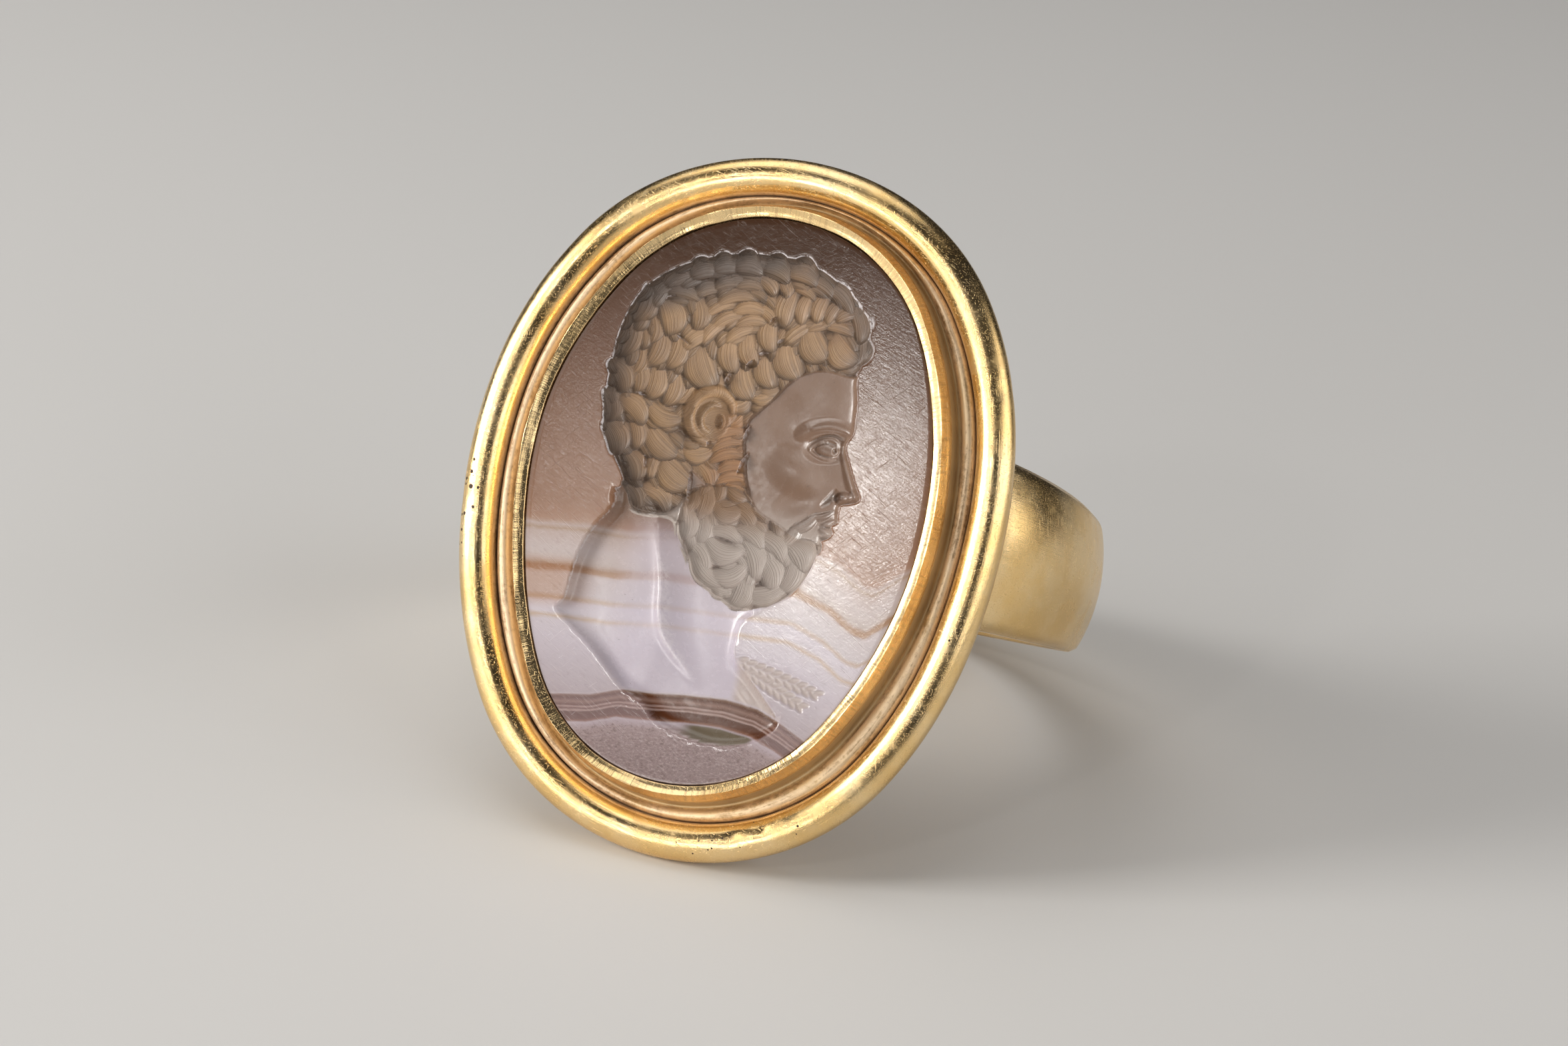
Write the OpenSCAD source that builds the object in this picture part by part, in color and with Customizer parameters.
// Intaglio ring: a gold ring with a moulded oval setting and a sunk-carved agate.
// It lies as such a ring comes to rest, on the lower end of the setting's bead
// and the back edge of the hoop. The setting faces -Y and +Z is up.
// The origin is under the middle of the ring, on the surface that it rests on.

/* [Setting] */
// Length of the oval setting, outside the bead
setting_l = 24; // [22:0.5:26]
// Width of the oval setting, outside the bead
setting_w = 19.08; // [18:0.02:20]
// Radius of the oval's round ends
end_r = 8.54; // [8:0.02:8.8]
// Thickness of the round bead along the outer edge
bead_d = 1.3; // [1.1:0.1:1.5]
// Thickness of the plate that closes the setting's back
back_t = 0.35; // [0.25:0.05:0.5]
// How far the bead's centre line lies in front of the hoop's axis
setting_reach = 8.4; // [8:0.1:8.8]
// How far the setting sits below the middle of the hoop
setting_drop = 0.6; // [0:0.1:1]
// Angle by which the setting tips down against the hoop
setting_tip = 1.9; // [0:0.1:3]

/* [Stone] */
// Inset of the stone's visible edge from the setting's outer edge
stone_inset = 2.6; // [2.5:0.05:2.8]
// Thickness of the stone
stone_t = 1.55; // [1.4:0.05:1.7]
// Depth of the deepest cut in the stone
carving_depth = 0.6; // [0.3:0.05:0.8]

/* [Hoop] */
// Inner diameter of the hoop
hoop_d = 19.9; // [19:0.1:20.5]
// Thickness of the hoop at its sides, in the middle of the band
hoop_t = 1.25; // [1:0.05:1.5]
// Width of the band at the back of the finger
back_w = 3.3; // [2.5:0.1:4.5]
// Width of the band where it meets the setting
shoulder_w = 6.1; // [5:0.1:7]
// Radius of the band's rounded outer face, across its width
crown_r = 6; // [5:0.5:9]
// How much thinner the band is at the back than at the sides
back_thinning = 0.35; // [0:0.05:0.5]

/* [Hidden] */
$fn = 96;

// The oval is four arcs: two small ones at its ends and two large ones at its sides
half_l = setting_l/2;
half_w = setting_w/2;
end_c = half_l - end_r;
side_c = (end_c*end_c - (half_w - end_r)*(half_w - end_r))/(2*(half_w - end_r));
side_r = half_w + side_c;
// Neighbouring arcs meet on the line through both of their centres, from [0, end_c] out to here
join_far = [2*side_c, 3*end_c];

// The rim's section: insets run in from the outer edge, heights up from the bead's centre line
bead_r = bead_d/2;
gap = 0.04;                // bed of cement round the stone
wall_inset = 0.95;         // the setting's own wall, tucked in under the bead
trough_h = -0.28;          // bottom of the hollow between bead and collar
fillet_inset = 1.58;       // the small inner moulding
fillet_r = 0.24;
fillet_h = -0.1;
ledge_inset = 1.82;        // step under the small moulding
ledge_h = -0.08;
cove_r = 0.16;             // hollow at the foot of the collar
cove_inset = 1.95;
cove_h = -0.12;
collar_inset = 2.05;       // upright foot of the collar that holds the stone
collar_h = 0.42;
crest_inset = 2.38;        // where the collar is turned over
crest_h = 0.92;
lip_t = 0.04;              // the lip's thin edge over the stone
girdle_inset = 2.5;        // the stone's edge, under the lip
girdle_h = 0.45;
bed_h = -0.8;              // bottom of the stone's bed
stone_h = bed_h + gap + stone_t;
plate_h = bed_h - back_t;
plate_recess = 0.06;       // the back plate sits this far inside the wall's edge
plate_inset = 1.7;
wall_low = plate_h - plate_recess;
solder = 0.15;             // how deep the hoop runs into the back plate

// The band: a domed outer face over a true bore
inner_r = hoop_d/2;
outer_r = inner_r + hoop_t;
back_r = outer_r - back_thinning - crown_r + sqrt(crown_r*crown_r - back_w*back_w/4);
well_clear = 3*outer_r;

// Lean at which the bead's lower end and the hoop's back edge lie on one level
low_c = half_l - bead_r;
low_y = -setting_reach + low_c*sin(setting_tip);
low_z = -setting_drop - low_c*cos(setting_tip);
span_y = back_r - low_y;
span_z = -back_w/2 - low_z;
lean = atan2(span_z, span_y) + asin(bead_r/norm([span_y, span_z]));
lift = bead_r + low_y*sin(lean) - low_z*cos(lean);
front_y = low_y*cos(lean) + low_z*sin(lean) - bead_r;
rear_y = back_r*cos(lean) + back_w/2*sin(lean);

// Shallow ball cuts of the sunk bust:
// [place across the stone, place up the stone, radius of the cut's rim, share of the full depth]
CUTS = [
    [-0.6, 4.3, 3.6, 1.00],    // crown of the head
    [-1.6, 2.3, 2.9, 0.85],    // back of the head
    [1.0, 0.9, 2.3, 0.80],     // cheek and beard
    [-0.9, -1.2, 1.9, 0.70],   // neck
    [-1.9, -3.6, 2.6, 0.75],   // near shoulder
    [0.9, -4.2, 2.3, 0.75]     // chest
];

// Sweeps a flat section round the oval. X of the section is the inset from the outer edge
module round_oval() {
    for (turn = [0, 180]) rotate([0, 0, turn]) {
        intersection() {
            translate([0, end_c, 0])
                rotate_extrude() translate([end_r, 0]) mirror([1, 0]) children();
            sector([
                [0, end_c], join_far, [join_far[0], setting_l],
                [-join_far[0], setting_l], [-join_far[0], join_far[1]]
            ]);
        }
        intersection() {
            translate([-side_c, 0, 0])
                rotate_extrude() translate([side_r, 0]) mirror([1, 0]) children();
            sector([[0, end_c], [0, -end_c], [join_far[0], -join_far[1]], join_far]);
        }
    }
}

// The part of the oval that one of its four arcs covers
module sector(corners) {
    translate([0, 0, -half_w]) linear_extrude(setting_w) polygon(corners);
}

// Flat outline of the same four arcs, inset from the outer edge
module oval(inset) {
    join_y = (side_r - inset)*end_c/(side_r - end_r);
    intersection() {
        translate([-side_c, 0]) circle(r = side_r - inset);
        translate([side_c, 0]) circle(r = side_r - inset);
        union() {
            for (end = [-1, 1]) translate([0, end*end_c]) circle(r = end_r - inset);
            square([setting_w, 2*join_y], center = true);
        }
    }
}

// Outer bead, wall, small inner moulding, cove, and the collar turned over the stone
module rim_section() {
    difference() {
        union() {
            translate([bead_r, 0]) circle(r = bead_r);
            polygon([
                [wall_inset, wall_low], [wall_inset, trough_h], [collar_inset, trough_h],
                [collar_inset, collar_h], [crest_inset, crest_h], [stone_inset, stone_h + lip_t],
                [stone_inset, girdle_h], [girdle_inset - gap, girdle_h],
                [girdle_inset - gap, wall_low]
            ]);
            translate([fillet_inset, fillet_h]) circle(r = fillet_r);
            translate([wall_inset, trough_h]) square([ledge_inset - wall_inset, ledge_h - trough_h]);
        }
        translate([cove_inset, cove_h]) circle(r = cove_r);
    }
}

// Closes the setting's back. Its outline lies between the wall and the stone's bed
module back_plate() {
    translate([0, 0, plate_h]) linear_extrude(back_t) intersection() {
        translate([-side_c, 0]) circle(r = side_r - plate_inset);
        translate([side_c, 0]) circle(r = side_r - plate_inset);
        square([setting_w, 2*(half_l - plate_inset)], center = true);
    }
}

module setting() {
    round_oval() rim_section();
    back_plate();
}

// Domed band, wide at the shoulders, narrow and thin at the back
module hoop() {
    difference() {
        intersection() {
            translate([0, -back_thinning, 0]) rotate_extrude() intersection() {
                translate([outer_r - crown_r, 0]) circle(r = crown_r);
                translate([inner_r - hoop_t, -shoulder_w]) square([3*hoop_t, 2*shoulder_w]);
            }
            translate([-well_clear, 0, 0]) rotate([90, 0, 90]) linear_extrude(2*well_clear)
                polygon([
                    [-setting_reach, -shoulder_w/2], [back_r, -back_w/2], [outer_r, -back_w/2],
                    [outer_r, back_w/2], [back_r, back_w/2], [-setting_reach, shoulder_w/2]
                ]);
        }
        translate([0, 0, -shoulder_w]) cylinder(r = inner_r, h = 2*shoulder_w);
        in_setting() translate([-well_clear, -well_clear, plate_h + solder])
            cube(2*well_clear);
    }
}

// Places the setting's own axes, long axis Y and face +Z, against the hoop
module in_setting() {
    translate([0, -setting_reach, -setting_drop]) rotate([90 + setting_tip, 0, 0]) children();
}

// Leans the ring on the two places that it rests on
module at_rest() {
    translate([0, -(front_y + rear_y)/2, lift]) rotate([-lean, 0, 0]) children();
}

module ring_mount() {
    color("goldenrod") at_rest() {
        in_setting() setting();
        hoop();
    }
}

// Flat agate with a wider girdle under the lip, and the bust sunk into its face
module stone() {
    color("rosybrown") at_rest() in_setting() difference() {
        translate([0, 0, bed_h + gap]) union() {
            linear_extrude(girdle_h - bed_h - 2*gap) oval(girdle_inset);
            linear_extrude(stone_t) oval(stone_inset + gap);
        }
        for (cut = CUTS) {
            deep = carving_depth*cut[3];
            ball_r = (cut[2]*cut[2] + deep*deep)/(2*deep);
            translate([cut[0], cut[1], stone_h + ball_r - deep]) sphere(r = ball_r);
        }
    }
}

ring_mount();
stone();
